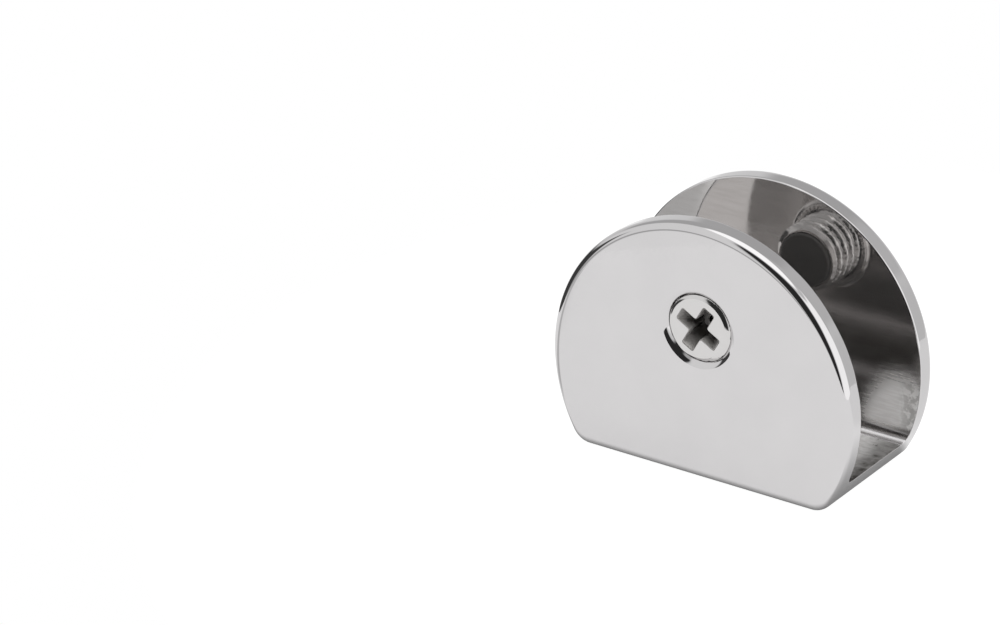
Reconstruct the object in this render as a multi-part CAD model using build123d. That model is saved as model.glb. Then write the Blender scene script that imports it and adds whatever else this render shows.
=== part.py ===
from build123d import *

import os

# Glass panel clamp for the edge of a shelf or screen.
# A cast U of two D-shaped plates on one base strip holds the glass in its slot. A headless screw
# with a cross recess runs through the front plate, and a soft pad in its end bears on the glass.
# Millimetres, +Z up. The origin is the middle of the flat sole, the screw enters from -Y, and X
# runs across the width.

# Cut tools run past the faces that they open by this much
overrun = 1.0

# Cast body: one D-shaped outline, a slot through it, and the strip left under the slot
plate_radius = 19.0
centre_height = 10.75
plate_thickness = 2.5
slot_width = 12.5
base_thickness = 3.0
rim_radius = 0.6
corner_radius = 2.5
slot_root_radius = 0.8
body_depth = slot_width + 2 * plate_thickness

# Clamp screw, headless, sized at the crest of its thread and set on its height above the sole
screw_radius = 4.0
screw_length = 8.0
screw_height = 17.75
screw_inset = 0.1
face_chamfer = 0.43
end_chamfer = 0.45

# Cross recess in the screw's face, turned as the screw was left
recess_span = 5.4
recess_tip_span = 2.2
recess_width = 1.25
recess_depth = 3.0
core_radius = 0.8
core_tip_radius = 0.5
core_depth = 3.3
recess_turn_deg = 30.0

# Cup and stem hole in the screw's far end
cup_radius = 3.2
cup_depth = 0.5
stem_hole_radius = 1.6
stem_hole_depth = 2.0

# Soft pad, a button whose stem is caught in the screw
pad_clearance = 0.05
pad_stand_off = 0.35
pad_edge_radius = 0.3

# Screw hole in the front plate, with an eased mouth and a low flared boss inside the slot
thread_clearance = 0.05
mouth_chamfer = 0.35
boss_height = 0.6
boss_wall = 0.65
boss_flare = 0.5
screw_hole_radius = screw_radius + thread_clearance

# Countersunk hole in the base strip for the screw that fixes the clamp down
fixing_hole_radius = 2.25
fixing_head_radius = 4.0

# The screw's own plane: its origin is the middle of the screw's face, and z points out of the slot
front_face_y = -body_depth / 2
screw_plane = Plane(
    origin=(0, front_face_y + screw_inset, screw_height),
    x_dir=(1, 0, 0),
    z_dir=(0, -1, 0),
)
from_top = (Align.CENTER, Align.CENTER, Align.MAX)
from_below = (Align.CENTER, Align.CENTER, Align.MIN)


def d_outline():
    """Round outline cut off flat along the sole, with rounded lower corners."""
    disc = Pos(0, centre_height) * Circle(plate_radius)
    above_sole = Rectangle(
        2 * (plate_radius + overrun),
        plate_radius + centre_height + overrun,
        align=(Align.CENTER, Align.MIN),
    )
    outline = disc & above_sole
    return fillet(outline.vertices(), corner_radius)


def prism_along_y(outline, depth):
    """An outline drawn in X and Z, as a prism of the given depth centred on the slot."""
    return extrude(Plane.XZ.offset(depth / 2) * outline, -depth)


def cast_blank():
    """The whole D-shaped block, with one soft rim all round each outer face."""
    block = prism_along_y(d_outline(), body_depth)
    flat_faces = block.faces().filter_by(Axis.Y)
    return fillet(flat_faces.edges(), rim_radius)


def slot_cutter():
    """The glass slot, open at the top and both ends, with rounded roots along the base."""
    section = Rectangle(
        slot_width,
        plate_radius + centre_height + overrun - base_thickness,
        align=(Align.CENTER, Align.MIN),
    )
    section = Pos(0, base_thickness) * section
    roots = section.vertices().group_by(Axis.Y)[0]
    section = fillet(roots, slot_root_radius)
    half_length = plate_radius + overrun
    return extrude(Plane.YZ * section, half_length, both=True)


def screw_boss():
    """Low flared boss round the screw hole, on the slot side of the front plate."""
    top_radius = screw_hole_radius + boss_wall
    boss = Cone(top_radius + boss_flare, top_radius, boss_height, align=from_below)
    slot_side = Plane(
        origin=(0, front_face_y + plate_thickness, screw_height),
        z_dir=(0, 1, 0),
    )
    return slot_side * boss


def screw_hole_cutter():
    """Clearance form of the tapped hole, with its eased mouth on the front face."""
    front = Plane(origin=(0, front_face_y, screw_height), z_dir=(0, 1, 0))
    through = plate_thickness + boss_height
    bore = Pos(0, 0, -overrun) * Cylinder(
        screw_hole_radius, through + 2 * overrun, align=from_below
    )
    mouth = Cone(
        screw_hole_radius + mouth_chamfer,
        screw_hole_radius,
        mouth_chamfer,
        align=from_below,
    )
    return front * (bore + mouth)


def fixing_hole_cutter():
    """Through hole in the base strip, countersunk from the slot side."""
    bore = Pos(0, 0, -overrun) * Cylinder(
        fixing_hole_radius, base_thickness + 2 * overrun, align=from_below
    )
    head_depth = fixing_head_radius - fixing_hole_radius
    head = Cone(fixing_hole_radius, fixing_head_radius, head_depth, align=from_top)
    return bore + Pos(0, 0, base_thickness) * head


def clamp_body():
    """The one-piece casting."""
    body = cast_blank() - slot_cutter()
    body = body + screw_boss()
    body = body - screw_hole_cutter()
    return body - fixing_hole_cutter()


def recess_wing():
    """One bar of the cross recess, with ends that slope in towards the bottom."""
    half_span = recess_span / 2
    half_tip = recess_tip_span / 2
    outline = Polyline(
        (-half_span, overrun),
        (-half_span, 0),
        (-half_tip, -recess_depth),
        (half_tip, -recess_depth),
        (half_span, 0),
        (half_span, overrun),
        close=True,
    )
    return extrude(Plane.XZ * make_face(outline), recess_width / 2, both=True)


def cross_recess():
    """Two crossed bars and the tapered core between them."""
    core = Cone(core_tip_radius, core_radius, core_depth, align=from_top)
    cross = recess_wing() + Rot(0, 0, 90) * recess_wing() + core
    return Rot(0, 0, -recess_turn_deg) * cross


def clamp_screw():
    """Headless screw: chamfered shank, cross recess, and a cup with a stem hole in its end."""
    shank = Cylinder(screw_radius, screw_length, align=from_top)
    rims = shank.edges().filter_by(GeomType.CIRCLE).sort_by(Axis.Z)
    shank = chamfer(rims[-1], face_chamfer)
    rims = shank.edges().filter_by(GeomType.CIRCLE).sort_by(Axis.Z)
    shank = chamfer(rims[0], end_chamfer)
    end = Pos(0, 0, -screw_length)
    cup = end * Pos(0, 0, -overrun) * Cylinder(cup_radius, cup_depth + overrun, align=from_below)
    stem_hole = end * Cylinder(stem_hole_radius, cup_depth + stem_hole_depth, align=from_below)
    return screw_plane * (shank - cross_recess() - cup - stem_hole)


def pressure_pad():
    """Button-shaped pad seated in the cup, its stem in the stem hole and its face proud."""
    head = Cylinder(cup_radius - pad_clearance, cup_depth + pad_stand_off, align=from_top)
    glass_rim = head.edges().filter_by(GeomType.CIRCLE).sort_by(Axis.Z)[0]
    head = fillet(glass_rim, pad_edge_radius)
    stem = Cylinder(
        stem_hole_radius - pad_clearance,
        stem_hole_depth - pad_clearance,
        align=from_below,
    )
    return screw_plane * Pos(0, 0, cup_depth - screw_length) * (head + stem)


os.makedirs("parts", exist_ok=True)
export_step(clamp_body(), "parts/clamp_body.step")
export_step(clamp_screw(), "parts/clamp_screw.step")
export_step(pressure_pad(), "parts/pressure_pad.step")
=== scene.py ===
"""Looks of a glass panel clamp: its chromed casting, its clamp screw and its soft pad.

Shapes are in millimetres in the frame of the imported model, and become metres as each mesh is made.
Finishes and the table's glow are worked out in metres, as the shaders see the pieces.
"""

import logging
import math
from dataclasses import dataclass, field
from enum import Enum, IntEnum
from typing import Callable, Sequence

import bpy
from mathutils import Matrix, Vector, geometry, noise

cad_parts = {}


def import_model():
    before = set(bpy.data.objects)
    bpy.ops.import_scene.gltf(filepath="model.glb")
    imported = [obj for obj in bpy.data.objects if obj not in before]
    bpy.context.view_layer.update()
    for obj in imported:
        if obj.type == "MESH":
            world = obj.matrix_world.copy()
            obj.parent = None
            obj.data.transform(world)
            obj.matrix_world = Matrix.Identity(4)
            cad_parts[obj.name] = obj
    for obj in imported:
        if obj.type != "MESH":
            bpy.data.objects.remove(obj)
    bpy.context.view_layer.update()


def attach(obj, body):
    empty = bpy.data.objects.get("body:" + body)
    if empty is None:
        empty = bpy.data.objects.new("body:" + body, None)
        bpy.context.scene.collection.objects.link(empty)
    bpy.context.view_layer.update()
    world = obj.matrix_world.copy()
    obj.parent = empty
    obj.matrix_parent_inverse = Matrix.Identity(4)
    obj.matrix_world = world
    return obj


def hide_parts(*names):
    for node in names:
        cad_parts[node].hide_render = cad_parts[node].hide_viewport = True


LOG = logging.getLogger("glass_panel_clamp")

MM = 0.001
QUARTER_TURN = math.pi / 2

# Points nearer to each other than this are one point of a mesh
WELD = 1e-5

# The height of the clamp screw's axis above the sole
SCREW_HEIGHT = 17.75

# The steps once round a plain turned form
ROUND_STEPS = 96

# How far the middle of a small rounded edge stands in from both its faces, as a share of its radius
MIDDLE_OF_ROUND = 0.3

# Takes a place or a way over to the left-hand half
MIRROR = Vector((-1, 1, 1))

# A corner of a face: its place, and the way that the surface looks there
Corner = tuple[Vector, Vector]
Colour = tuple[float, float, float]
Span = tuple[float, float]
Socket = bpy.types.NodeSocket


class Finish(IntEnum):
    """How a face is finished, by its place in the list of materials that its mesh carries."""

    MAIN = 0
    BACK_WALL = 1
    FRONT_WALL = 2
    SLOT_FLOOR = 3
    SLOT_ROOT = 4


class ScrewFinish(IntEnum):
    """How a face of the clamp screw is finished, by its place in the screw's list of materials."""

    BRIGHT = 0
    RECESS = 1


class Plate(Enum):
    """The two plates of the casting, by the side of the slot that they stand on."""

    FRONT = -1
    BACK = 1

    @property
    def wall(self) -> Finish:
        """The finish of the plate's wall inside the slot."""
        return Finish.FRONT_WALL if self is Plate.FRONT else Finish.BACK_WALL


class CrossSection(Enum):
    """Which way a turned profile is spun: about the screw's axis or about the fixing hole's."""

    ABOUT_SCREW = "y"
    ABOUT_FIXING_HOLE = "z"


def sweep(start: float, end: float, steps: int) -> list[float]:
    """Evenly spaced numbers from start to end, both included."""
    return [start + (end - start) * i / steps for i in range(steps + 1)]


def back(distance: float) -> Vector:
    """A step from the front of the clamp towards its back."""
    return Vector((0, distance, 0))


def bearing(turn: float, rise: float) -> Vector:
    """The way to a place that lies turned from the front to the right, and raised, in radians."""
    return Vector((math.sin(turn) * math.cos(rise), -math.cos(turn) * math.cos(rise), math.sin(rise)))


def cut_corner(first: Vector, corner: Vector, last: Vector, share: float) -> Vector:
    """A point of the curve that rounds a corner off, at a share of the way from first to last."""
    return first.lerp(corner, share).lerp(corner.lerp(last, share), share)


def rounded_start(share: float, rounding: float) -> float:
    """A ramp from 0 to 1 that starts level and curves into a straight rise.

    Args:
        share: How far along the ramp; outside 0 to 1 the ramp is level.
        rounding: How much of the ramp is curved.

    Returns:
        The height of the ramp.
    """
    share = min(max(share, 0.0), 1.0)
    rise = share - rounding / 2
    if share < rounding:
        rise = share * share / (2 * rounding)
    return rise / (1 - rounding / 2)


@dataclass(frozen=True)
class RoundedEase:
    """The rounded ease between a flat face and the wall of a hole or of a shank."""

    width: float
    start_deg: float
    end_deg: float

    def reach(self, depth: float) -> float:
        """How far the ease has run across the face at a depth.

        Args:
            depth: The depth below the face.

        Returns:
            The distance, which keeps growing below the ease.
        """
        start, end = math.radians(self.start_deg), math.radians(self.end_deg)
        bend = self.width / (math.sin(end) - math.sin(start))
        slope = math.cos(start) - max(depth, 0.0) / bend
        if slope > math.cos(end):
            return bend * (math.sin(math.acos(slope)) - math.sin(start))
        past = depth - bend * (math.cos(start) - math.cos(end))
        return self.width + past / math.tan(end)


@dataclass(frozen=True)
class Turned:
    """An axis that profiles are spun about, and the number of steps in one turn."""

    section: CrossSection
    centre: Vector
    steps: int = ROUND_STEPS

    @classmethod
    def about_screw(cls, steps: int = ROUND_STEPS) -> "Turned":
        """The clamp screw's axis."""
        return cls(CrossSection.ABOUT_SCREW, Vector((0, 0, SCREW_HEIGHT)), steps)

    def place(self, turn: float, radius: float, height: float) -> Vector:
        """Where a point of the profile comes to lie.

        Args:
            turn: The angle about the axis, by the right-hand rule.
            radius: The distance from the axis.
            height: The place along the axis.

        Returns:
            The point.
        """
        across, up = radius * math.sin(turn), radius * math.cos(turn)
        if self.section is CrossSection.ABOUT_SCREW:
            return Vector((self.centre.x + across, height, self.centre.z + up))
        return Vector((self.centre.x + up, self.centre.y + across, height))

    def turns(self) -> list[float]:
        """The angles at which a profile is repeated, once round."""
        return sweep(0.0, 2 * math.pi, self.steps)[:-1]

    def circle(self, radius: float, height: float) -> list[Vector]:
        """The points of a circle, at the same angles as those of a spun profile."""
        return [self.place(turn, radius, height) for turn in self.turns()]


@dataclass
class Sketch:
    """A mesh in the making, with a direction kept at each corner of each face."""

    points: list[Vector] = field(default_factory=list)
    faces: list[list[int]] = field(default_factory=list)
    normals: list[Vector] = field(default_factory=list)
    finishes: list[int] = field(default_factory=list)
    found: dict[tuple[int, int, int], int] = field(default_factory=dict)

    def index_of(self, point: Vector) -> int:
        """Finds a point in the mesh, or adds it.

        Args:
            point: The place, in millimetres.

        Returns:
            The point's number.
        """
        key = (round(point.x / WELD), round(point.y / WELD), round(point.z / WELD))
        if key not in self.found:
            self.found[key] = len(self.points)
            self.points.append(point)
        return self.found[key]

    def face(self, corners: Sequence[Corner], finish: IntEnum = Finish.MAIN) -> None:
        """Adds one face, wound so that it looks the way that its corners do.

        Args:
            corners: The corners, in order round the face.
            finish: Which of the mesh's finishes the face has.
        """
        kept: list[tuple[int, Vector]] = []
        for point, normal in corners:
            number = self.index_of(point)
            if number not in [k[0] for k in kept]:
                kept.append((number, normal))
        if len(kept) < 3:
            return
        places = [self.points[number] for number, _ in kept]
        way = Vector()
        for here, after in zip(places, places[1:] + places[:1]):
            way += here.cross(after)
        looks = sum((normal for _, normal in kept), Vector())
        if way.dot(looks) < 0:
            kept.reverse()
        self.faces.append([number for number, _ in kept])
        self.normals.extend(normal for _, normal in kept)
        self.finishes.append(finish)

    def strip(
        self, rows: Sequence[Sequence[Corner]], finish: IntEnum = Finish.MAIN, ring: bool = False
    ) -> None:
        """Adds the faces between rows of corners.

        Args:
            rows: Rows of equal length.
            finish: Which of the mesh's finishes the faces have.
            ring: Whether the last row is joined to the first.
        """
        following = list(rows[1:]) + ([rows[0]] if ring else [])
        for row, after in zip(rows, following):
            for i in range(len(row) - 1):
                self.face([row[i], row[i + 1], after[i + 1], after[i]], finish)

    def fill(
        self, outlines: Sequence[Sequence[Vector]], normal: Vector, finish: IntEnum = Finish.MAIN
    ) -> None:
        """Fills a flat outline, leaving its holes open.

        Args:
            outlines: The outline, then its holes.
            normal: The way that the flat face looks.
            finish: Which of the mesh's finishes the faces have.
        """
        flat = [point for outline in outlines for point in outline]
        for triangle in geometry.tessellate_polygon([list(outline) for outline in outlines]):
            self.face([(flat[i], normal) for i in triangle], finish)

    def spin(
        self, axis: Turned, profile: Sequence[tuple[float, float]], outside: bool,
        finish: IntEnum = Finish.MAIN, smooth: bool = False,
    ) -> None:
        """Adds a profile that is spun about an axis.

        Args:
            axis: The axis.
            profile: The radius and height of each point.
            outside: Whether the surface looks to the left of the way that the profile is drawn,
                with the radius drawn to the right and the height drawn upwards.
            finish: Which of the mesh's finishes the faces have.
            smooth: Whether the profile's corners are shaded as one curve.
        """
        sides = []
        for (r0, h0), (r1, h1) in zip(profile, profile[1:]):
            run = Vector((r1 - r0, h1 - h0)).normalized()
            sides.append(Vector((-run.y, run.x)) * (1 if outside else -1))
        for i, side in enumerate(sides):
            first = last = side
            if smooth and i > 0:
                first = (sides[i - 1] + side).normalized()
            if smooth and i < len(sides) - 1:
                last = (sides[i + 1] + side).normalized()
            rows = []
            for turn in axis.turns():
                origin = axis.place(turn, 0, 0)
                ends = ((profile[i], first), (profile[i + 1], last))
                rows.append([
                    (axis.place(turn, *end), axis.place(turn, *way) - origin) for end, way in ends
                ])
            self.strip(rows, finish, ring=True)

    def height_field(
        self, axis: Turned, radius: Callable[[float, float], float],
        start: float, end: float, step: float, outwards: bool,
    ) -> tuple[list[Vector], list[Vector]]:
        """Adds a round surface whose radius changes with the angle and along the axis.

        Args:
            axis: The axis and the angles.
            radius: Gives the radius at an angle and a place along the axis.
            start: Where the surface begins along the axis.
            end: Where it ends.
            step: The length of its rows.
            outwards: Whether it looks away from the axis.

        Returns:
            The rings of points at its start and its end.
        """
        heights = sweep(start, end, max(1, round((end - start) / step)))
        nudge_turn, nudge_height = 0.01, step / 2
        rows = []
        for turn in axis.turns():
            origin = axis.place(turn, 0, 0)
            out = axis.place(turn, 1, 0) - origin
            tangent = axis.place(turn + QUARTER_TURN, 1, 0) - origin
            lengthwise = axis.place(turn, 0, 1) - origin
            row = []
            for height in heights:
                low, high = max(height - nudge_height, start), min(height + nudge_height, end)
                here = radius(turn, height)
                along = (radius(turn, high) - radius(turn, low)) / (high - low)
                change = radius(turn + nudge_turn, height) - radius(turn - nudge_turn, height)
                around = change / (2 * nudge_turn)
                normal = (out - tangent * (around / here) - lengthwise * along).normalized()
                row.append((axis.place(turn, here, height), normal if outwards else -normal))
            rows.append(row)
        self.strip(rows, ring=True)
        return [row[0][0] for row in rows], [row[-1][0] for row in rows]

    def build(self, name: str, finishes: Sequence[bpy.types.Material]) -> bpy.types.Object:
        """Makes the Blender object.

        Args:
            name: The object's name.
            finishes: Its materials, in the order of their numbers.

        Returns:
            The object, linked to the scene.
        """
        mesh = bpy.data.meshes.new(name)
        mesh.from_pydata([point * MM for point in self.points], [], self.faces)
        for material in finishes:
            mesh.materials.append(material)
        mesh.polygons.foreach_set("material_index", self.finishes)
        mesh.polygons.foreach_set("use_smooth", [True] * len(self.faces))
        mesh.normals_split_custom_set([tuple(normal) for normal in self.normals])
        piece = bpy.data.objects.new(name, mesh)
        bpy.context.scene.collection.objects.link(piece)
        return piece


@dataclass(frozen=True)
class Thread:
    """A right-hand screw thread about the clamp screw's axis, measured outside the screw."""

    crest_radius: float = 4.0
    pitch: float = 1.25
    depth: float = 0.65
    crest_flat: float = 0.06
    root_flat: float = 0.12
    crest_rounding: float = 0.45
    start_deg: float = 136.0
    rag_depth: float = 0.12
    rag_scale: float = 13.0

    def radius(self, turn: float, height: float) -> float:
        """The screw's radius at one place of its thread.

        Args:
            turn: The angle about the axis.
            height: The place along the axis.

        Returns:
            The distance from the axis.
        """
        lead = turn - math.radians(self.start_deg)
        share = (height / self.pitch - lead / (2 * math.pi)) % 1.0
        off_crest = abs(share - 0.5) * self.pitch
        flank = (self.pitch - self.crest_flat - self.root_flat) / 2
        cut = rounded_start((off_crest - self.crest_flat / 2) / flank, self.crest_rounding)
        spot = Vector((math.sin(turn), math.cos(turn), height / self.crest_radius)) * self.rag_scale
        ragged = self.rag_depth * max(0.0, noise.noise(spot))
        return self.crest_radius - self.depth * cut - ragged * (1 - cut)


@dataclass(frozen=True)
class Clouds:
    """A cloudy pattern: how many clouds there are in a metre, and how many finer layers."""

    per_metre: float
    detail: float = 2.0


class Nodes:
    """Short hand for wiring a node tree. A value is a number, a colour or another node's output."""

    def __init__(self, tree: bpy.types.NodeTree) -> None:
        """Starts from an empty tree."""
        self.tree = tree
        tree.nodes.clear()

    def add(
        self, kind: str, inputs: dict[str | int, object] | None = None, **settings: object
    ) -> bpy.types.Node:
        """Adds a node.

        Args:
            kind: The node's type.
            inputs: The values of its inputs, by name or number.
            settings: Its properties.

        Returns:
            The node.
        """
        node = self.tree.nodes.new(kind)
        for name, value in settings.items():
            setattr(node, name, value)
        for name, value in (inputs or {}).items():
            self.feed(node.inputs[name], value)
        return node

    def feed(self, target: Socket, value: object) -> None:
        """Gives an input a value.

        Args:
            target: The input.
            value: The value. A colour of three numbers is taken as opaque.
        """
        if isinstance(value, Socket):
            self.tree.links.new(value, target)
        elif target.type == "RGBA":
            target.default_value = (*value, 1.0)
        else:
            target.default_value = value

    def maths(self, kind: str, first: object, second: object = 0.0) -> Socket:
        """Works one or two values out into a number."""
        return self.add("ShaderNodeMath", {0: first, 1: second}, operation=kind).outputs[0]

    def product(self, first: object, *others: object) -> Socket:
        """Multiplies values, in order.

        Args:
            first: The first value.
            others: The rest.

        Returns:
            The product.
        """
        for other in others:
            first = self.maths("MULTIPLY", first, other)
        return first

    def ramp(
        self, value: object, start: float, end: float, low: float = 0.0, high: float = 1.0
    ) -> Socket:
        """Maps a number to another range, with rounded ends and level outside it.

        Args:
            value: The number.
            start: The value that gives low.
            end: The value that gives high.
            low: The result at and before start.
            high: The result at and after end.

        Returns:
            The result.
        """
        inputs = {"Value": value, "From Min": start, "From Max": end, "To Min": low, "To Max": high}
        node = self.add("ShaderNodeMapRange", inputs, interpolation_type="SMOOTHSTEP", clamp=True)
        return node.outputs["Result"]

    def between(self, share: object, first: object, second: object) -> Socket:
        """A number at a share of the way from first to second."""
        return self.add("ShaderNodeMix", {0: share, 2: first, 3: second}, data_type="FLOAT").outputs[0]

    def tint(self, share: object, first: object, second: object) -> Socket:
        """A colour at a share of the way from first to second."""
        return self.add("ShaderNodeMix", {0: share, 6: first, 7: second}, data_type="RGBA").outputs[2]

    def place(self, kind: str = "Object") -> Socket:
        """The place on the object, or the direction in the world if the kind is Generated."""
        return self.add("ShaderNodeTexCoord").outputs[kind]

    def parts(self, vector: Socket) -> Sequence[Socket]:
        """The X, Y and Z of a place or a direction."""
        return self.add("ShaderNodeSeparateXYZ", {0: vector}).outputs[:3]

    def drawn_out(self, place: Socket, length: float) -> Socket:
        """A place squeezed along X, which draws patterns out to so many times their length."""
        inputs = {"Vector": place, "Scale": (1.0 / length, 1.0, 1.0)}
        return self.add("ShaderNodeMapping", inputs).outputs["Vector"]

    def oval_distance(self, place: Sequence[Socket], middle: Span, size: Span) -> Socket:
        """How far a place lies from the middle of an oval.

        Args:
            place: The place's coordinates along the oval's two axes.
            middle: The middle of the oval.
            size: Half of its size along each axis.

        Returns:
            The distance, 1 on the oval's edge.
        """
        squares = []
        for value, centre, reach in zip(place, middle, size):
            share = self.maths("DIVIDE", self.maths("SUBTRACT", value, centre), reach)
            squares.append(self.product(share, share))
        return self.maths("SQRT", self.maths("ADD", *squares))

    def noise(self, place: Socket, clouds: Clouds) -> Socket:
        """A cloudy number between 0 and 1."""
        inputs = {"Vector": place, "Scale": clouds.per_metre, "Detail": clouds.detail}
        return self.add("ShaderNodeTexNoise", inputs).outputs["Fac"]

    def bump(self, height: Socket, depth: float) -> Socket:
        """The way that a surface looks with fine relief of a depth in metres."""
        inputs = {"Strength": 1.0, "Distance": depth, "Height": height}
        return self.add("ShaderNodeBump", inputs).outputs["Normal"]

    def mixed(self, share: Socket, first: bpy.types.Node, second: bpy.types.Node) -> bpy.types.Node:
        """A shader at a share of the way from first to second."""
        return self.add("ShaderNodeMixShader", {0: share, 1: first.outputs[0], 2: second.outputs[0]})

    def show(self, shader: bpy.types.Node, kind: str = "ShaderNodeOutputMaterial") -> None:
        """Sends a shader to the tree's output."""
        self.add(kind, {"Surface": shader.outputs[0]})


def new_material(name: str) -> tuple[bpy.types.Material, Nodes]:
    """Starts a material.

    Args:
        name: The material's name.

    Returns:
        The material and its tree.
    """
    material = bpy.data.materials.new(name)
    material.use_nodes = True
    return material, Nodes(material.node_tree)


@dataclass(frozen=True)
class Coating:
    """What a surface is finished with."""

    name: str

    def values(self, nodes: Nodes, place: Socket) -> dict[str, object]:
        """Works out the values of the shader's inputs.

        Args:
            nodes: The material's tree.
            place: The place on the piece.

        Returns:
            The values by the input's name.
        """
        raise NotImplementedError

    def make(self) -> bpy.types.Material:
        """Builds the material.

        Returns:
            The material.
        """
        material, nodes = new_material(self.name)
        nodes.show(nodes.add("ShaderNodeBsdfPrincipled", self.values(nodes, nodes.place())))
        return material


@dataclass(frozen=True)
class CloudedCoating(Coating):
    """A coating whose tone, gloss and fine relief each follow a cloudy pattern."""

    metallic: float
    dark: Colour
    light: Colour
    tone: Clouds
    haze: Clouds
    haze_span: Span
    sharp: float
    hazy: float
    relief: Clouds
    relief_depth: float

    def values(self, nodes: Nodes, place: Socket) -> dict[str, object]:
        """Works out the values of the shader's inputs, as every coating does.

        Args:
            nodes: The material's tree.
            place: The place on the piece.

        Returns:
            The values by the input's name.
        """
        haze = nodes.noise(place, self.haze)
        return {
            "Base Color": nodes.tint(nodes.noise(place, self.tone), self.dark, self.light),
            "Metallic": self.metallic,
            "Roughness": nodes.ramp(haze, *self.haze_span, self.sharp, self.hazy),
            "Normal": nodes.bump(nodes.noise(place, self.relief), self.relief_depth),
        }


@dataclass(frozen=True)
class PolishedChrome(CloudedCoating):
    """Bright chrome over polished cast metal: faint cloudy tone, slight waves and fine haze."""

    name: str = "polished_chrome"
    metallic: float = 1.0
    dark: Colour = (0.610, 0.600, 0.605)
    light: Colour = (0.660, 0.648, 0.652)
    tone: Clouds = Clouds(160.0, 3.0)
    haze: Clouds = Clouds(1400.0)
    haze_span: Span = (0.35, 0.7)
    sharp: float = 0.035
    hazy: float = 0.075
    relief: Clouds = Clouds(110.0, 1.0)
    relief_depth: float = 3.0e-6


@dataclass(frozen=True)
class ScrewChrome(CloudedCoating):
    """Bright chrome over turned and rolled steel, slightly warmer than the casting's."""

    name: str = "screw_chrome"
    metallic: float = 1.0
    dark: Colour = (0.61, 0.60, 0.595)
    light: Colour = (0.67, 0.66, 0.655)
    tone: Clouds = Clouds(900.0, 3.0)
    haze: Clouds = Clouds(900.0, 3.0)
    haze_span: Span = (0.35, 0.65)
    sharp: float = 0.06
    hazy: float = 0.14
    relief: Clouds = Clouds(900.0, 3.0)
    relief_depth: float = 2.0e-6


@dataclass(frozen=True)
class MattRubber(CloudedCoating):
    """Black moulded rubber with a fine spark-eroded grain."""

    name: str = "matt_rubber"
    metallic: float = 0.0
    dark: Colour = (0.038, 0.037, 0.036)
    light: Colour = (0.066, 0.064, 0.062)
    tone: Clouds = Clouds(5200.0, 3.0)
    haze: Clouds = Clouds(5200.0, 3.0)
    haze_span: Span = (0.3, 0.7)
    sharp: float = 0.38
    hazy: float = 0.52
    relief: Clouds = Clouds(5200.0, 3.0)
    relief_depth: float = 1.2e-5


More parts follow.
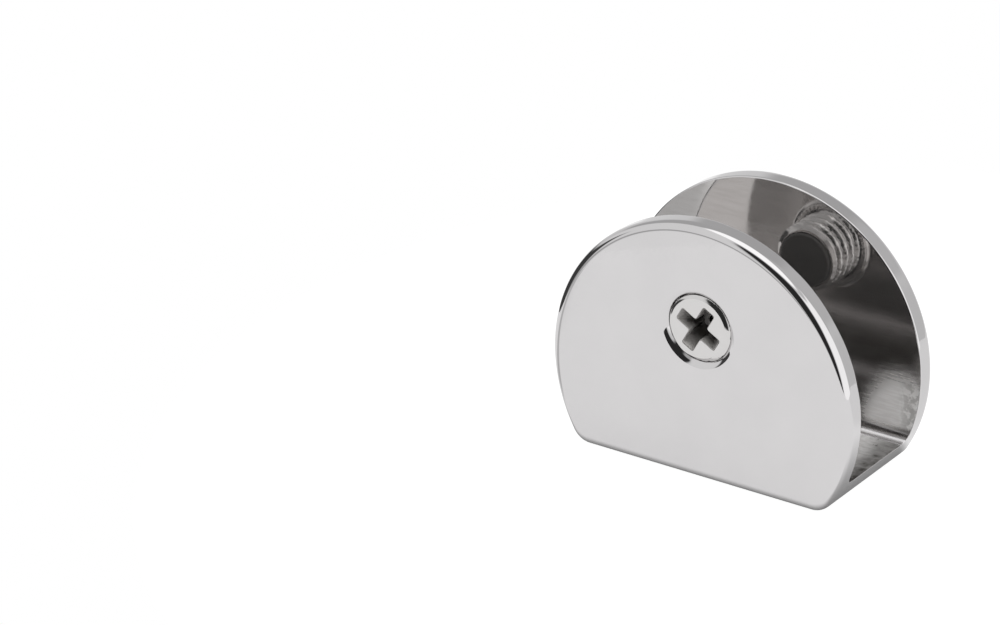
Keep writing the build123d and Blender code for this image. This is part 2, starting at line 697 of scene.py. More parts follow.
@dataclass(frozen=True)
class SlotWallChrome(Coating):
    """Thinner chrome on the slot's walls, brushed along the wall, and rougher and less metallic in the
    lower corners, where a near-white colour is painted light from the slot's open ends.
    """

    name: str = "slot_wall_chrome"
    dark: Colour = (0.550, 0.534, 0.526)
    light: Colour = (0.578, 0.563, 0.556)
    tone_span: Span = (0.3, 0.7)
    brushing: Clouds = Clouds(2300.0)
    brushing_length: float = 9.0
    brushing_depth: float = 0.25e-6
    waves: Clouds = Clouds(210.0, 1.0)
    wave_depth: float = 2.0e-6
    grain: Clouds = Clouds(1500.0)
    grain_depth: float = 0.35e-6
    haze_span: Span = (0.35, 0.7)
    sharp: float = 0.025
    hazy: float = 0.055
    haze_height: Span = (0.021, 0.013)
    low_haze: float = 0.10
    veil_height: Span = (0.013, 0.020)
    veiled_metallic: float = 0.93
    corner_middle: Span = (0.0166, 0.0030)
    corner_size: Span = (0.0058, 0.0088)
    corner_edge: Span = (1.12, 0.62)
    corner_foot: Span = (0.0040, 0.0048)
    corner_metallic: float = 0.10
    corner_rough: float = 0.38
    # Painted light: the lower corners' near-white colours stand in for light that reaches them through
    # the slot's open ends.
    corner_painted_light_grey: Colour = (0.84, 0.825, 0.815)
    corner_painted_light_pale: Colour = (0.97, 0.955, 0.945)
    corner_tone_span: Span = (0.35, 0.65)
    corner_end: Span = (0.0158, 0.0178)
    corner_end_share: float = 0.6
    corner_stained: Colour = (0.34, 0.33, 0.32)
    corner_stain_span: Span = (0.4, 0.55)
    corner_brushing: Clouds = Clouds(4600.0, 3.0)
    corner_brushing_depth: float = 4.0e-6
    corner_uneven: float = 0.28

    def values(self, nodes: Nodes, place: Socket) -> dict[str, object]:
        """Works out the values of the shader's inputs, as every coating does.

        Args:
            nodes: The material's tree.
            place: The place on the casting.

        Returns:
            The values by the input's name.
        """
        across, _, up = nodes.parts(place)
        outwards = nodes.maths("ABSOLUTE", across)
        along = nodes.drawn_out(place, self.brushing_length)
        brushing = nodes.noise(along, self.brushing)
        fine = nodes.noise(along, self.corner_brushing)
        grain = nodes.noise(place, self.grain)
        distance = nodes.oval_distance((outwards, up), self.corner_middle, self.corner_size)
        distance = nodes.maths("ADD", distance, nodes.product(fine, self.corner_uneven))
        corner = nodes.ramp(distance, *(edge + self.corner_uneven / 2 for edge in self.corner_edge))
        corner = nodes.product(corner, nodes.ramp(up, *self.corner_foot))
        polished = nodes.tint(nodes.ramp(brushing, *self.tone_span), self.dark, self.light)
        # Painted light: a near-white colour in the lower corners, over their real rougher, less metallic
        # finish; stains darken it at the ends.
        dull_and_painted_light = nodes.tint(nodes.ramp(fine, *self.corner_tone_span), self.corner_painted_light_grey, self.corner_painted_light_pale)
        end = nodes.ramp(outwards, *self.corner_end, 0.0, self.corner_end_share)
        stained = nodes.product(end, nodes.ramp(grain, *self.corner_stain_span))
        dull_and_painted_light = nodes.tint(stained, dull_and_painted_light, self.corner_stained)
        veiled = nodes.ramp(up, *self.veil_height, 1.0, self.veiled_metallic)
        haze = nodes.ramp(brushing, *self.haze_span, self.sharp, self.hazy)
        haze = nodes.maths("ADD", haze, nodes.ramp(up, *self.haze_height, 0.0, self.low_haze))
        relief: object = 0.0
        for height, depth in (
            (brushing, self.brushing_depth),
            (fine, nodes.product(corner, self.corner_brushing_depth)),
            (nodes.noise(place, self.waves), self.wave_depth),
            (grain, self.grain_depth),
        ):
            relief = nodes.maths("ADD", relief, nodes.product(height, depth))
        return {
            "Base Color": nodes.tint(corner, polished, dull_and_painted_light),
            "Metallic": nodes.between(corner, veiled, self.corner_metallic),
            "Roughness": nodes.between(corner, haze, self.corner_rough),
            "Normal": nodes.bump(relief, 1.0),
        }


@dataclass(frozen=True)
class CastChrome(Coating):
    """A chrome flash over unpolished cast metal: dark in the middle, which is painted shade where the
    deep slot lets in least light, then pale, stained at the ends.
    """

    name: str = "cast_chrome"
    metallic: float = 0.22
    pale: Colour = (0.95, 0.94, 0.93)
    grey: Colour = (0.74, 0.73, 0.72)
    # Painted shade: the middle of the slot's floor is darker, where the deep slot lets in least light.
    middle: Colour = (0.12, 0.115, 0.11)
    stained: Colour = (0.11, 0.105, 0.10)
    pitted: Colour = (0.06, 0.055, 0.05)
    tone_span: Span = (0.3, 0.65)
    painted_shade_edge: Span = (0.0095, 0.0120)
    stain_edge: Span = (0.0128, 0.0168)
    stain_full_share: float = 0.96
    mottle_span: Span = (0.35, 0.6)
    mottled_share: float = 0.8
    brushing: Clouds = Clouds(2600.0, 3.0)
    brushing_length: float = 2.5
    grain: Clouds = Clouds(800.0, 4.0)
    pit_starts: Span = (0.72, 0.60)
    pit_edge: Span = (-0.02, 0.03)
    gloss_span: Span = (0.3, 0.7)
    smooth: float = 0.30
    rough: float = 0.46
    relief_depth: float = 5.0e-6

    def values(self, nodes: Nodes, place: Socket) -> dict[str, object]:
        """Works out the values of the shader's inputs, as every coating does.

        Args:
            nodes: The material's tree.
            place: The place on the casting.

        Returns:
            The values by the input's name.
        """
        outwards = nodes.maths("ABSOLUTE", nodes.parts(place)[0])
        brushing = nodes.noise(nodes.drawn_out(place, self.brushing_length), self.brushing)
        grain = nodes.noise(place, self.grain)
        metal = nodes.tint(nodes.ramp(brushing, *self.tone_span), self.grey, self.pale)
        # Painted shade: darker in the middle of the slot's floor, away from its open ends.
        metal = nodes.tint(nodes.ramp(outwards, *self.painted_shade_edge), self.middle, metal)
        edge = nodes.ramp(outwards, *self.stain_edge, 0.0, self.stain_full_share)
        mottled = nodes.product(edge, nodes.ramp(grain, *self.mottle_span, self.mottled_share, 1.0))
        metal = nodes.tint(mottled, metal, self.stained)
        start = nodes.ramp(outwards, *self.stain_edge, *self.pit_starts)
        pits = nodes.ramp(nodes.maths("SUBTRACT", grain, start), *self.pit_edge)
        return {
            "Base Color": nodes.tint(pits, metal, self.pitted),
            "Metallic": self.metallic,
            "Roughness": nodes.ramp(brushing, *self.gloss_span, self.rough, self.smooth),
            "Normal": nodes.bump(nodes.maths("ADD", brushing, grain), self.relief_depth),
        }


@dataclass(frozen=True)
class OutlinePoint:
    """A point of the casting's D-shaped outline, with its outward way."""

    place: Vector
    out: Vector

    @classmethod
    def on_arc(cls, centre: Vector, radius: float, angle: float) -> "OutlinePoint":
        """A point of an arc, at an angle above the horizontal."""
        out = Vector((math.cos(angle), 0, math.sin(angle)))
        return cls(centre + out * radius, out)

    def mirrored(self) -> "OutlinePoint":
        """The same point on the left-hand half."""
        return OutlinePoint(self.place * MIRROR, self.out * MIRROR)


@dataclass
class Piece:
    """A piece of the clamp, with the mesh that its methods add to."""

    sketch: Sketch = field(default_factory=Sketch, kw_only=True)


@dataclass
class ClampBody(Piece):
    """The one-piece casting: two D-shaped plates on a base strip, a screw boss and a fixing hole.

    The edges along the slot are broken, wider above the roots, and widest on the front plate.
    """

    radius: float = 19.0
    centre_height: float = 10.75
    plate: float = 2.5
    slot: float = 12.5
    floor: float = 3.0
    rim: float = 1.05
    rim_fullness: float = 2.5
    corner: float = 2.5
    root: float = 1.1
    break_radius: float = 0.07
    break_growth: float = 3.0
    front_break_extra: float = 0.22
    back_break_extra: float = 0.11
    uneven_share: float = 0.3
    uneven_per_radian: float = 9.0
    uneven_spot: Span = (0.5, 0.5)
    mouth_radius: float = 4.54
    mouth_ease: RoundedEase = RoundedEase(0.49, 20.0, 42.0)
    bore_radius: float = 4.05
    inner_mouth_radius: float = 4.2
    bore_clearance: float = 0.05
    bore_row: float = 0.05
    boss_height: float = 0.6
    boss_radius: float = 4.7
    boss_foot: float = 5.25
    fixing_radius: float = 2.25
    fixing_head_radius: float = 4.0
    rim_steps: int = 20
    corner_steps: int = 14
    root_steps: int = 6
    break_steps: int = 3
    flare_steps: int = 8
    arc_step_deg: float = 1.25
    thread: Thread = Thread(rag_depth=0.0)
    fixing_axis: Turned = Turned(CrossSection.ABOUT_FIXING_HOLE, Vector((0, 0, 0)).freeze())

    @property
    def half_depth(self) -> float:
        """Half of the casting's depth."""
        return self.slot / 2 + self.plate

    @property
    def depths(self) -> tuple[float, float, float, float]:
        """Where the flat bands below the slot begin and end, from front to back."""
        inner, outer = self.slot / 2 - self.root, self.half_depth - self.rim
        return -outer, -inner, inner, outer

    def on_circle(self, angle: float) -> OutlinePoint:
        """A point of the round part of the outline, at an angle above the horizontal."""
        return OutlinePoint.on_arc(Vector((0, 0, self.centre_height)), self.radius, angle)

    def at_height(self, height: float, radius: float) -> float:
        """How far the round outline of a given radius reaches sideways at a height."""
        return math.sqrt(radius**2 - (height - self.centre_height) ** 2)

    def angle_at(self, height: float) -> float:
        """The angle of the outline's point at a height, on the right-hand side."""
        return math.asin((height - self.centre_height) / self.radius)

    def corner_half(self) -> list[OutlinePoint]:
        """The right-hand lower corner, from the sole up to where the round part begins.

        Returns:
            The corner's points.
        """
        drop = self.corner - self.centre_height
        centre = Vector((math.sqrt((self.radius - self.corner) ** 2 - drop**2), 0, self.corner))
        angles = sweep(-QUARTER_TURN, math.atan2(drop, centre.x), self.corner_steps)
        return [OutlinePoint.on_arc(centre, self.corner, angle) for angle in angles]

    def lower_half(self) -> list[OutlinePoint]:
        """The round part from the corner up to just below the slot's floor.

        Returns:
            Its points, ends left out.
        """
        start = self.angle_at(self.corner_half()[-1].place.z)
        end = self.angle_at(self.floor - self.break_radius)
        count = max(2, round(math.degrees(end - start) / self.arc_step_deg))
        return [self.on_circle(angle) for angle in sweep(start, end, count)[1:-1]]

    def root_rows(self) -> list[tuple[OutlinePoint, float, float]]:
        """The outline beside the slot's rounded root, from the floor up.

        Returns:
            For each row its outline point, the turn of the root there and the slot's half width
            on the skin.
        """
        rows = []
        for turn in sweep(0.0, QUARTER_TURN, self.root_steps):
            reach = self.root + self.break_radius
            height = self.floor + self.root - reach * math.cos(turn)
            half_slot = self.slot / 2 - self.root + reach * math.sin(turn)
            rows.append((self.on_circle(self.angle_at(height)), turn, half_slot))
        return rows

    def upper_half(self, plate: Plate) -> list[tuple[OutlinePoint, float]]:
        """The outline beside the slot's straight walls, from above the root to the top.

        Args:
            plate: Which plate.

        Returns:
            Each outline point, and the radius of the broken edge there, uneven from hand polishing.
        """
        start = self.angle_at(self.floor + self.root)
        count = round(math.degrees(QUARTER_TURN - start) / self.arc_step_deg)
        extra = self.front_break_extra if plate is Plate.FRONT else self.back_break_extra
        rows = []
        for i, angle in enumerate(sweep(start, QUARTER_TURN, count)[1:], 1):
            size = self.break_radius + extra * min(1.0, self.break_growth * i / count)
            uneven = noise.noise(Vector((angle * self.uneven_per_radian, *self.uneven_spot)))
            rows.append((self.on_circle(angle), size * (1 + self.uneven_share * uneven)))
        return rows

    def rim_row(self, point: OutlinePoint, plate: Plate) -> list[Corner]:
        """One row across a plate's rounded rim, from its side to its flat face.

        Args:
            point: The outline's point.
            plate: Which plate.

        Returns:
            The row.
        """
        face = back(plate.value)
        power = 2 / self.rim_fullness
        bend = 2 - power
        row = []
        for turn in sweep(0.0, QUARTER_TURN, self.rim_steps):
            along, across = max(math.cos(turn), 0.0), max(math.sin(turn), 0.0)
            inset = self.rim * (1 - along**power)
            depth = self.half_depth - self.rim * (1 - across**power)
            normal = (point.out * along**bend + face * across**bend).normalized()
            row.append((point.place - point.out * inset + face * depth, normal))
        return row

    def whole_outline(self) -> list[OutlinePoint]:
        """The outline once round.

        Returns:
            Its points, from the sole's right-hand end over the top to its left.
        """
        right = self.corner_half() + self.lower_half()
        right += [row[0] for row in self.root_rows()]
        right += [row[0] for row in self.upper_half(Plate.BACK)]
        return right + [point.mirrored() for point in reversed(right[:-1])]

    def add_outer_skin(self) -> None:
        """Adds the rims, the flat faces and the skin below the slot."""
        outline = self.whole_outline()
        mouth = Turned.about_screw(ClampScrew.around)
        for plate in Plate:
            rows = [self.rim_row(point, plate) for point in outline]
            self.sketch.strip(rows, ring=True)
            loops = [[row[-1][0] for row in rows]]
            if plate is Plate.FRONT:
                loops.append(mouth.circle(self.mouth_radius, -self.half_depth))
            self.sketch.fill(loops, back(plate.value))
        below = self.corner_half() + self.lower_half() + [self.root_rows()[0][0]]
        for side in (below, [point.mirrored() for point in below]):
            rows = [[(point.place + back(y), point.out) for y in self.depths] for point in side]
            self.sketch.strip(rows)

    def break_row(self, skin: Corner, edge: Vector, wall: Corner) -> list[Corner]:
        """One row across a broken edge, from the skin to the slot's wall.

        Args:
            skin: The row's end on the skin.
            edge: Where the sharp edge would be.
            wall: The row's end on the slot's wall.

        Returns:
            The row.
        """
        return [
            (cut_corner(skin[0], edge, wall[0], share), skin[1].lerp(wall[1], share).normalized())
            for share in sweep(0.0, 1.0, self.break_steps)
        ]

    def slot_rows(self, plate: Plate) -> list[tuple[OutlinePoint, list[Corner]]]:
        """The right-hand outline beside the slot, each point with its row across the broken edge.

        Args:
            plate: Which plate.

        Returns:
            The outline's points and their rows, from the slot's floor to the top.
        """
        side = plate.value
        inner_radius = self.radius - self.break_radius
        rows = []
        for point, turn, half_slot in self.root_rows():
            height = self.floor + self.root * (1 - math.cos(turn))
            depth = side * (self.slot / 2 - self.root + self.root * math.sin(turn))
            skin = (point.place + back(side * half_slot), point.out)
            edge = Vector((self.at_height(height, self.radius), depth, height))
            inner = Vector((self.at_height(height, inner_radius), depth, height))
            wall = (inner, Vector((0, -side * math.sin(turn), math.cos(turn))))
            rows.append((point, self.break_row(skin, edge, wall)))
        for point, size in self.upper_half(plate):
            skin = (point.place + back(side * (self.slot / 2 + size)), point.out)
            edge = point.place + back(side * self.slot / 2)
            wall = (edge - point.out * size, back(-side))
            rows.append((point, self.break_row(skin, edge, wall)))
        return rows

    def add_slot(self) -> None:
        """Adds the skin beside the slot, the broken edges, the walls, the roots and the floor."""
        floor_ends = []
        for plate in Plate:
            right = self.slot_rows(plate)
            left = [
                (point.mirrored(), [(place * MIRROR, way * MIRROR) for place, way in row])
                for point, row in right
            ]
            bands, breaks = [], []
            for point, row in right + left[-2::-1]:
                outer = point.place + back(plate.value * (self.half_depth - self.rim))
                bands.append([(outer, point.out), row[0]])
                breaks.append(row)
            self.sketch.strip(bands)
            self.sketch.strip(breaks)
            roots = self.root_steps + 1
            ends = zip(right[:roots], left[:roots])
            root_rows = [[right_row[-1], left_row[-1]] for (_, right_row), (_, left_row) in ends]
            self.sketch.strip(root_rows, Finish.SLOT_ROOT)
            loops = [[row[-1][0] for row in breaks[self.root_steps : len(breaks) - self.root_steps]]]
            if plate is Plate.FRONT:
                loops.append(Turned.about_screw().circle(self.boss_foot, -self.slot / 2))
            self.sketch.fill(loops, back(-plate.value), plate.wall)
            floor_ends.append((right[0][1], left[0][1]))
        for front_row, back_row in zip(*floor_ends):
            self.sketch.strip([front_row, back_row])
        loop = [floor_ends[plate][side][-1][0] for plate, side in ((0, 0), (1, 0), (1, 1), (0, 1))]
        head = self.fixing_axis.circle(self.fixing_head_radius + self.break_radius, self.floor)
        self.sketch.fill([loop, head], Vector((0, 0, 1)), Finish.SLOT_FLOOR)

    def add_fixing_hole(self) -> None:
        """Adds the sole and the countersunk hole through the base strip."""
        size = self.break_radius
        slope = self.floor - (self.fixing_head_radius - self.fixing_radius)
        profile = [
            (self.fixing_head_radius + size, self.floor),
            (self.fixing_head_radius - size / 2, self.floor - size),
            (self.fixing_radius, slope),
            (self.fixing_radius, size),
            (self.fixing_radius + size, 0.0),
        ]
        self.sketch.spin(self.fixing_axis, profile, outside=False, finish=Finish.SLOT_FLOOR)
        right = [self.corner_half()[0].place + back(y) for y in self.depths]
        left = [point * MIRROR for point in reversed(right)]
        hole = self.fixing_axis.circle(self.fixing_radius + size, 0.0)
        self.sketch.fill([right + left, hole], Vector((0, 0, -1)))

    def bore(self, turn: float, height: float) -> float:
        """The tapped hole's radius: the screw's thread with clearance, opened at both mouths.

        Args:
            turn: The angle about the screw's axis.
            height: The place along the axis.

        Returns:
            The distance from the axis.
        """
        tapped = min(self.thread.radius(turn, height) + self.bore_clearance, self.bore_radius)
        front_mouth = self.mouth_radius - self.mouth_ease.reach(height + self.half_depth)
        inner_mouth = self.inner_mouth_radius - (self.boss_height - self.slot / 2 - height)
        return max(tapped, front_mouth, inner_mouth)

    def add_screw_boss(self) -> None:
        """Adds the tapped hole through the front plate and the flared boss inside the slot."""
        fine = Turned.about_screw(ClampScrew.around)
        size = self.break_radius
        top = self.boss_height - self.slot / 2
        self.sketch.height_field(fine, self.bore, -self.half_depth, top, self.bore_row, outwards=False)
        ring = [(self.inner_mouth_radius, top), (self.boss_radius - size, top)]
        self.sketch.spin(fine, ring, outside=True, finish=Finish.FRONT_WALL)
        flare = []
        for turn in sweep(0.0, QUARTER_TURN, self.flare_steps):
            radius = self.boss_foot - (self.boss_foot - self.boss_radius) * math.sin(turn)
            flare.append((radius, -self.slot / 2 + (self.boss_height - size) * (1 - math.cos(turn))))
        middle = size * MIDDLE_OF_ROUND
        flare += [(self.boss_radius - middle, top - middle), (self.boss_radius - size, top)]
        coarse = Turned.about_screw()
        self.sketch.spin(coarse, flare, outside=False, finish=Finish.FRONT_WALL, smooth=True)

    def make(self) -> bpy.types.Object:
        """Builds the casting, dresses it and sets it in place of the CAD solid.

        Returns:
            The object.
        """
        self.add_outer_skin()
        self.add_slot()
        self.add_fixing_hole()
        self.add_screw_boss()
        finishes = {
            Finish.MAIN: PolishedChrome(),
            Finish.BACK_WALL: SlotWallChrome("back_wall_chrome"),
            Finish.FRONT_WALL: SlotWallChrome("front_wall_chrome", grain_depth=1.0e-6),
            Finish.SLOT_FLOOR: CastChrome(),
            Finish.SLOT_ROOT: PolishedChrome("slot_root_chrome", sharp=0.14, hazy=0.22),
        }
        piece = self.sketch.build("clamp_casting", [finishes[finish].make() for finish in Finish])
        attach(piece, "body")
        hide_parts("clamp_body")
        return piece


@dataclass
class ClampScrew(Piece):
    """The headless screw: rolled thread, cross recess in its face, cup and stem hole in its end."""

    radius: float = 4.0
    length: float = 8.0
    face: float = -8.65
    face_ease: RoundedEase = RoundedEase(0.52, 16.0, 46.0)
    end_chamfer: float = 0.45
    row: float = 0.05
    recess_half_span: float = 2.7
    recess_half_tip: float = 1.1
    recess_half_width: float = 0.75
    recess_corner: float = 0.3
    recess_corner_steps: int = 4
    recess_depth: float = 3.0
    recess_break: float = 0.07
    recess_turn_deg: float = 30.0
    core_radius: float = 0.5
    core_depth: float = 3.3
    core_steps: int = 24
    cup_radius: float = 3.2
    cup_depth: float = 0.5
    stem_hole_radius: float = 1.6
    stem_hole_depth: float = 2.0
    around: int = 144
    thread: Thread = Thread()

    @property
    def end(self) -> float:
        """Where the screw ends inside the slot."""
        return self.face + self.length

    def shank(self, turn: float, height: float) -> float:
        """The screw's radius: its thread, cut back by the ease at its face and the end's chamfer.

        Args:
            turn: The angle about the screw's axis.
            height: The place along the axis.

        Returns:
            The distance from the axis.
        """
        at_face = self.radius - self.face_ease.width + self.face_ease.reach(height - self.face)
        at_end = self.radius - self.end_chamfer + (self.end - height)
        return min(self.thread.radius(turn, height), at_face, at_end)

    def cross(self, half_span: float, half_width: float, depth: float) -> list[Vector]:
        """The outline of the cross recess at one depth, with rounded corners.

        Args:
            half_span: Half of the length of its arms.
            half_width: Half of their width.
            depth: How far it lies behind the screw's face.

        Returns:
            Its points, in order.
        """
        corners = []
        for quarter in range(4):
            angle = -math.radians(self.recess_turn_deg) + quarter * QUARTER_TURN
            arm = Vector((math.cos(angle), 0, math.sin(angle)))
            side = Vector((-math.sin(angle), 0, math.cos(angle)))
            corners.append(arm * half_span - side * half_width)
            corners.append(arm * half_span + side * half_width)
            corners.append(arm * half_width + side * half_width)
        origin = Vector((0, self.face + depth, SCREW_HEIGHT))
        size = min(self.recess_corner, (half_span - half_width) / 2)
        points = []
        for i, corner in enumerate(corners):
            before = corner + (corners[i - 1] - corner).normalized() * size
            after = corner + (corners[(i + 1) % len(corners)] - corner).normalized() * size
            for share in sweep(0.0, 1.0, self.recess_corner_steps):
                points.append(origin + cut_corner(before, corner, after, share))
        return points

    def add_recess(self) -> list[Vector]:
        """Adds the cross recess.

        Returns:
            The recess's outline on the screw's face.
        """
        size = self.recess_break
        middle = size * MIDDLE_OF_ROUND
        taper = (self.recess_half_span - self.recess_half_tip) / self.recess_depth
        levels = [
            self.cross(self.recess_half_span + size, self.recess_half_width + size, 0.0),
            self.cross(
                self.recess_half_span - size * taper / 2, self.recess_half_width + middle, middle
            ),
            self.cross(self.recess_half_span - size * taper, self.recess_half_width, size),
            self.cross(self.recess_half_tip, self.recess_half_width, self.recess_depth),
        ]
        for level, deeper in zip(levels, levels[1:]):
            rows = []
            for i, (point, below) in enumerate(zip(level, deeper)):
                along = level[(i + 1) % len(level)] - level[i - 1]
                normal = (below - point).cross(along).normalized()
                rows.append([(point, normal), (below, normal)])
            self.sketch.strip(rows, ScrewFinish.RECESS, ring=True)
        core = Turned.about_screw(self.core_steps)
        bottom = self.face + self.recess_depth
        cone = [(self.core_radius, bottom), (0.0, self.face + self.core_depth)]
        self.sketch.spin(core, cone, outside=False, finish=ScrewFinish.RECESS)
        floor = [levels[-1], core.circle(self.core_radius, bottom)]
        self.sketch.fill(floor, back(-1), ScrewFinish.RECESS)
        return levels[0]

    def add_cup(self, axis: Turned, rim: list[Vector]) -> None:
        """Adds the end of the screw, with the cup and the stem hole.

        Args:
            axis: The screw's axis, with the angles of its thread.
            rim: The outer edge of the screw's end.
        """
        size = self.recess_break
        floor = self.end - self.cup_depth
        bottom = floor - self.stem_hole_depth
        drill_point = self.stem_hole_radius / 2
        profile = [
            (self.cup_radius + size, self.end),
            (self.cup_radius, self.end - size),
            (self.cup_radius, floor),
            (self.stem_hole_radius + size, floor),
            (self.stem_hole_radius, floor - size),
            (self.stem_hole_radius, bottom),
            (0.0, bottom - drill_point),
        ]
        self.sketch.spin(axis, profile, outside=False)
        self.sketch.fill([rim, axis.circle(self.cup_radius + size, self.end)], back(1))

    def make(self) -> bpy.types.Object:
        """Builds the screw, dresses it and sets it in place of the CAD solid.

        Returns:
            The object.
        """
        axis = Turned.about_screw(self.around)
        face, end = self.sketch.height_field(
            axis, self.shank, self.face, self.end, self.row, outwards=True
        )
        self.sketch.fill([face, self.add_recess()], back(-1))
        self.add_cup(axis, end)
        recess = ScrewChrome(
            "recess_chrome", metallic=0.28, dark=(0.44, 0.425, 0.41), light=(0.58, 0.565, 0.55),
            sharp=0.26, hazy=0.38,
        )
        finishes = {ScrewFinish.BRIGHT: ScrewChrome(), ScrewFinish.RECESS: recess}
        materials = [finishes[finish].make() for finish in ScrewFinish]
        piece = self.sketch.build("threaded_clamp_screw", materials)
        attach(piece, "screw")
        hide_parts("clamp_screw")
        return piece


@dataclass
class PressurePad(Piece):
    """The soft pad: a crowned button whose stem sits in the screw."""

    radius: float = 3.15
    stem_radius: float = 1.55
    stem_length: float = 1.95
    stem_ease: float = 0.1
    cup_floor: float = -1.15
    tip: float = -0.30
    edge: float = 0.3
    crown: float = 0.06
    edge_steps: int = 8
    crown_steps: int = 4
    around: int = 72

    def stem(self) -> list[tuple[float, float]]:
        """The stem's outline, from the middle of its end to the button's edge.

        Returns:
            The radius and the place along the axis of each point.
        """
        stem_end = self.cup_floor - self.stem_length
        return [
            (0.0, stem_end),
            (self.stem_radius - self.stem_ease, stem_end),
            (self.stem_radius, stem_end + self.stem_ease),
            (self.stem_radius, self.cup_floor),
            (self.radius, self.cup_floor),
        ]

    def button(self) -> list[tuple[float, float]]:
        """The button's outline, from its edge in the cup to the middle of its face.

        Returns:
            The radius and the place along the axis of each point.
        """
        points = [(self.radius, self.cup_floor)]
        shoulder = self.tip - self.crown - self.edge
        for turn in sweep(0.0, QUARTER_TURN, self.edge_steps):
            radius = self.radius - self.edge * (1 - math.cos(turn))
            points.append((radius, shoulder + self.edge * math.sin(turn)))
        for share in sweep(1.0, 0.0, self.crown_steps)[1:]:
            points.append(((self.radius - self.edge) * share, self.tip - self.crown * share * share))
        return points

    def make(self) -> bpy.types.Object:
        """Builds the pad, dresses it and sets it in place of the CAD solid.

        Returns:
            The object.
        """
        axis = Turned.about_screw(self.around)
        self.sketch.spin(axis, self.stem(), outside=False)
        self.sketch.spin(axis, self.button(), outside=False, smooth=True)
        piece = self.sketch.build("soft_pressure_pad", [MattRubber().make()])
        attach(piece, "pad")
        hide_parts("pressure_pad")
        return piece


@dataclass(frozen=True)
class StudioPatch:
    """A part of the studio by its direction from the clamp, and how bright it looks in the chrome.

    Turns are degrees about the upright, from the screw's side of the clamp towards its right-hand
    side. Rises are degrees above the table. The edges fade over soft degrees to either side.
    """

    level: float
    turns: Span
    rises: Span
    soft: float = 3.0

    def share(self, nodes: Nodes, turn: Socket, rise: Socket) -> Socket:
        """How far a direction lies inside the patch.

        Args:
            nodes: The world's tree.
            turn: The direction's turn, in radians.
            rise: Its rise, in radians.

        Returns:
            The share, from 0 to 1.
        """
        share: object = 1.0
        for value, ends in ((turn, self.turns), (rise, self.rises)):
            for edge, inwards in zip(ends, (1, -1)):
                start = math.radians(edge - self.soft * inwards)
                end = math.radians(edge + self.soft * inwards)
                share = nodes.product(share, nodes.ramp(value, start, end))
        return share


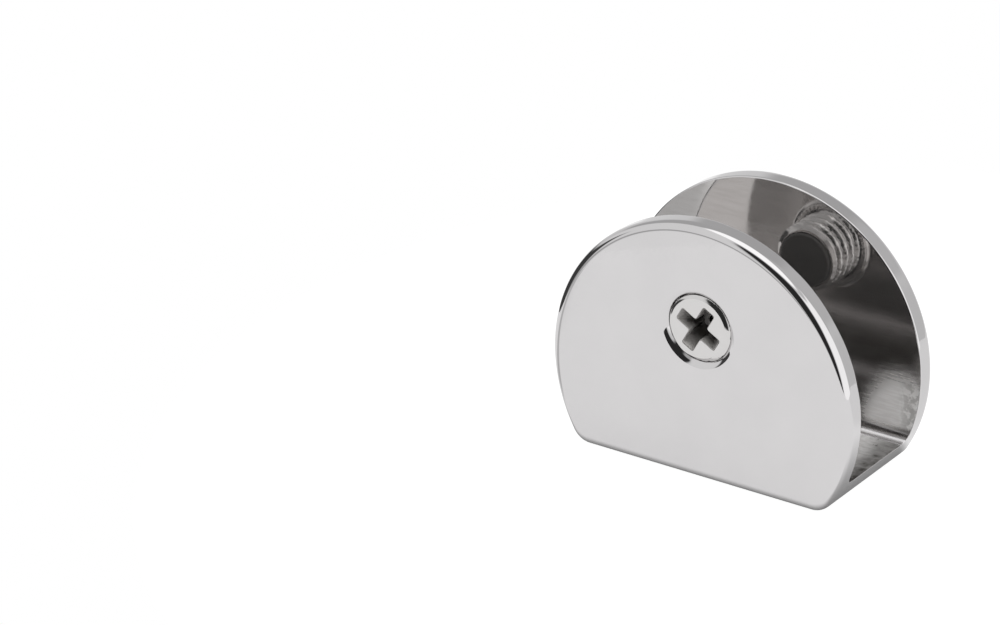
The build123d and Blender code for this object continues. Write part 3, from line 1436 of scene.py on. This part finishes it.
@dataclass
class Studio:
    """A white table in a studio with bright walls, an overhead light and a dark room in front.

    The floor's radius and centre are in millimetres. The places where its glow changes are in metres.
    """

    floor_radius: float = 85.0
    floor_centre: Span = (20.0, 5.0)
    floor_tone: float = 0.82
    camera_glow: float = 1.2
    camera_glow_share: float = 0.80
    mirrored_glow_share: float = 0.62
    table_glow: float = 1.22
    slant: float = 0.5
    # Painted light and shade in the table's glow, seen only in reflections: a darker band on the left,
    # darker far to the left, darker behind on the right and brighter behind on the left.
    left_band_near: Span = (-0.0175, -0.0205)
    left_band_far: Span = (-0.0290, -0.0250)
    left_band_front: Span = (-0.005, -0.015)
    left_band_share: float = 0.45
    far_left_edge: Span = (-0.0600, -0.0640)
    far_left_share: float = 0.43
    right_edge: Span = (0.008, 0.015)
    back_edge: Span = (0.009, 0.016)
    back_right_share: float = 0.85
    left_edge: Span = (-0.015, -0.022)
    back_left_share: float = 1.32
    # Painted contact shadow in the table's glow, seen only in reflections: darker within these reaches
    # of the clamp's foot.
    painted_shadow_half: Span = (0.0143, 0.0080)
    painted_shadow_reach: Span = (0.0140, 0.0026)
    painted_shadow_share: float = 0.14
    back_wall: Span = (0.79, 0.52)
    back_wall_rise_deg: Span = (15.0, 24.0)
    overhead_aim_deg: Span = (30.0, 83.0)
    overhead_edge_deg: Span = (33.0, 26.0)
    overhead_level: float = 1.5

    def patches(self) -> tuple[StudioPatch, ...]:
        """The parts of the studio that stand out in the chrome.

        Returns:
            The parts, each laid over the ones before it.
        """
        return (
            # The white table
            StudioPatch(1.0, (-200, 200), (-100, -7)),
            # The pale wall in front on the left
            StudioPatch(0.92, (-82, -17), (-14, 72), 6.0),
            # The grey wall behind on the right, and what is bright below it
            StudioPatch(0.64, (124, 170), (18, 75), 6.0),
            StudioPatch(0.70, (124, 170), (-14, 15), 5.0),
            # The bright wall on the right, and the gap over it
            StudioPatch(1.32, (47, 130), (-12, 49)),
            StudioPatch(0.72, (40, 125), (49, 64)),
            # The bright table behind on the left
            StudioPatch(1.15, (-158, -114), (-40, -19)),
            # The dark gaps on the left and in front on the left
            StudioPatch(0.06, (-113, -50), (-22, 4)),
            StudioPatch(0.48, (-52, -17), (-21, -14), 2.0),
            # The dark room in front
            StudioPatch(0.03, (-16, 38), (-14, 45)),
        )

    def mirrored_glow(self, nodes: Nodes) -> Socket:
        """How bright the table looks in the chrome, place by place: painted light and shade, brighter
        behind on the left, darker behind on the right, in a band on the left and far to the left, and a
        painted contact shadow round the clamp's foot.

        Args:
            nodes: The table material's tree.

        Returns:
            The brightness.
        """
        across, behind, _ = nodes.parts(nodes.place())
        slanted = nodes.maths("SUBTRACT", across, nodes.product(behind, self.slant))
        share = nodes.ramp(slanted, *self.far_left_edge, 1.0, self.far_left_share)
        band = nodes.product(
            nodes.ramp(slanted, *self.left_band_near),
            nodes.ramp(slanted, *self.left_band_far),
            nodes.ramp(behind, *self.left_band_front),
        )
        share = nodes.between(band, share, self.left_band_share)
        sides = ((self.right_edge, self.back_right_share), (self.left_edge, self.back_left_share))
        for edge, side_share in sides:
            side = nodes.product(nodes.ramp(across, *edge), nodes.ramp(behind, *self.back_edge))
            share = nodes.product(share, nodes.between(side, 1.0, side_share))
        # Painted contact shadow: the glow dims near the clamp's foot.
        past = []
        for value, half in zip((across, behind), self.painted_shadow_half):
            beyond = nodes.maths("SUBTRACT", nodes.maths("ABSOLUTE", value), half)
            past.append(nodes.maths("MAXIMUM", beyond, 0.0))
        away = nodes.oval_distance(past, (0.0, 0.0), self.painted_shadow_reach)
        return nodes.product(share, nodes.ramp(away, 0.0, 1.0, self.painted_shadow_share, 1.0), self.table_glow)

    def make_table_material(self) -> bpy.types.Material:
        """Builds the table's material: it keeps the shadow, and its glow adds white.

        The glow has one strength for the camera and another, place by place, for reflections. From
        below the table is clear.

        Returns:
            The material.
        """
        material, nodes = new_material("white_table")
        path = nodes.add("ShaderNodeLightPath").outputs
        glossy = path["Is Glossy Ray"]
        cloth = nodes.add("ShaderNodeBsdfDiffuse", {"Color": (self.floor_tone,) * 3})
        strength = nodes.between(glossy, self.camera_glow, self.mirrored_glow(nodes))
        glow = nodes.add("ShaderNodeEmission", {"Strength": strength})
        direct = nodes.maths("ADD", path["Is Camera Ray"], path["Is Transmission Ray"])
        direct = nodes.product(direct, self.camera_glow_share)
        mirrored = nodes.product(glossy, self.mirrored_glow_share)
        top = nodes.mixed(nodes.maths("ADD", direct, mirrored), cloth, glow)
        from_below = nodes.add("ShaderNodeNewGeometry").outputs["Backfacing"]
        nodes.show(nodes.mixed(from_below, top, nodes.add("ShaderNodeBsdfTransparent")))
        return material

    def make_floor(self) -> None:
        """Builds the table top, a disc under the clamp."""
        sketch = Sketch()
        middle = Turned(CrossSection.ABOUT_FIXING_HOLE, Vector((*self.floor_centre, 0.0)))
        sketch.fill([middle.circle(self.floor_radius, 0.0)], Vector((0, 0, 1)))
        floor = sketch.build("table_top", [self.make_table_material()])

    def room_level(self, nodes: Nodes, way: Socket) -> Socket:
        """How bright the studio looks in the chrome.

        Args:
            nodes: The world's tree.
            way: The direction.

        Returns:
            The brightness.
        """
        across, behind, up = nodes.parts(way)
        turn = nodes.maths("ARCTAN2", across, nodes.product(behind, -1.0))
        rise = nodes.maths("ARCSINE", up)
        level = nodes.ramp(rise, *map(math.radians, self.back_wall_rise_deg), *self.back_wall)
        for patch in self.patches():
            level = nodes.between(patch.share(nodes, turn, rise), level, patch.level)
        aim = bearing(*map(math.radians, self.overhead_aim_deg))
        towards = nodes.add("ShaderNodeVectorMath", {0: way, 1: aim}, operation="DOT_PRODUCT")
        edges = [math.cos(math.radians(edge)) for edge in self.overhead_edge_deg]
        overhead = nodes.ramp(towards.outputs["Value"], *edges)
        return nodes.between(overhead, level, self.overhead_level)

    def make_world(self) -> None:
        """Builds the world: white to the camera, and the studio in reflections."""
        world = bpy.data.worlds.new("soft_studio")
        world.use_nodes = True
        bpy.context.scene.world = world
        nodes = Nodes(world.node_tree)
        white = (1.0, 1.0, 1.0)
        level = self.room_level(nodes, nodes.place("Generated"))
        shown = nodes.add("ShaderNodeBackground", {"Color": white})
        lighting = nodes.add("ShaderNodeBackground", {"Color": white, "Strength": level})
        to_camera = nodes.add("ShaderNodeLightPath").outputs["Is Camera Ray"]
        nodes.show(nodes.mixed(to_camera, lighting, shown), "ShaderNodeOutputWorld")

    def make(self) -> None:
        """Builds the floor and the world, and sets how colours are shown."""
        self.make_floor()
        self.make_world()
        bpy.context.scene.view_settings.view_transform = "Standard"


@dataclass(frozen=True)
class PhotoCamera:
    """A long lens, turned a little off the clamp so that it stands where the photograph has it.

    Angles are in radians, and the clip distances in metres.
    """

    distance: float = 456.0
    azimuth: float = 0.561404
    elevation: float = 0.445599
    roll: float = 0.010064
    aim: tuple[float, float, float] = (0.0, 0.0, 10.75)
    focal_pixels: float = 4180.3
    image_width: float = 1000.0
    image_height: float = 625.0
    aim_across: float = 741.42
    aim_down: float = 357.10
    sensor: float = 36.0
    clip_start: float = 0.01
    clip_end: float = 5.0

    def make(self) -> bpy.types.Object:
        """Builds the camera and makes it the scene's.

        Returns:
            The camera.
        """
        away = bearing(self.azimuth, self.elevation)
        right = Vector((math.cos(self.azimuth), math.sin(self.azimuth), 0.0))
        level = Matrix((right, away.cross(right), away)).transposed()
        across = (self.aim_across - self.image_width / 2) / self.focal_pixels
        down = (self.aim_down - self.image_height / 2) / self.focal_pixels
        seen = Vector((across, -down, -1.0)).normalized()
        turn = seen.rotation_difference(Vector((0.0, 0.0, -1.0))).to_matrix()
        axes = level @ turn @ Matrix.Rotation(self.roll, 3, "Z")
        data = bpy.data.cameras.new("photo_camera")
        data.sensor_width = self.sensor
        data.lens = self.focal_pixels * self.sensor / self.image_width
        data.clip_start = self.clip_start
        data.clip_end = self.clip_end
        camera = bpy.data.objects.new("photo_camera", data)
        bpy.context.scene.collection.objects.link(camera)
        place = Matrix.Translation((Vector(self.aim) + away * self.distance) * MM)
        camera.matrix_world = place @ axes.to_4x4()
        bpy.context.scene.camera = camera
        return camera


def main() -> None:
    """Loads the frame, builds each piece in order, then the studio and the camera."""
    logging.basicConfig(level=logging.INFO, format="%(message)s")
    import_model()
    for part in (ClampBody(), ClampScrew(), PressurePad()):
        piece = part.make()
        LOG.info("%s: %d faces", piece.name, len(piece.data.polygons))
    Studio().make()
    PhotoCamera().make()


if __name__ == "__main__":
    main()
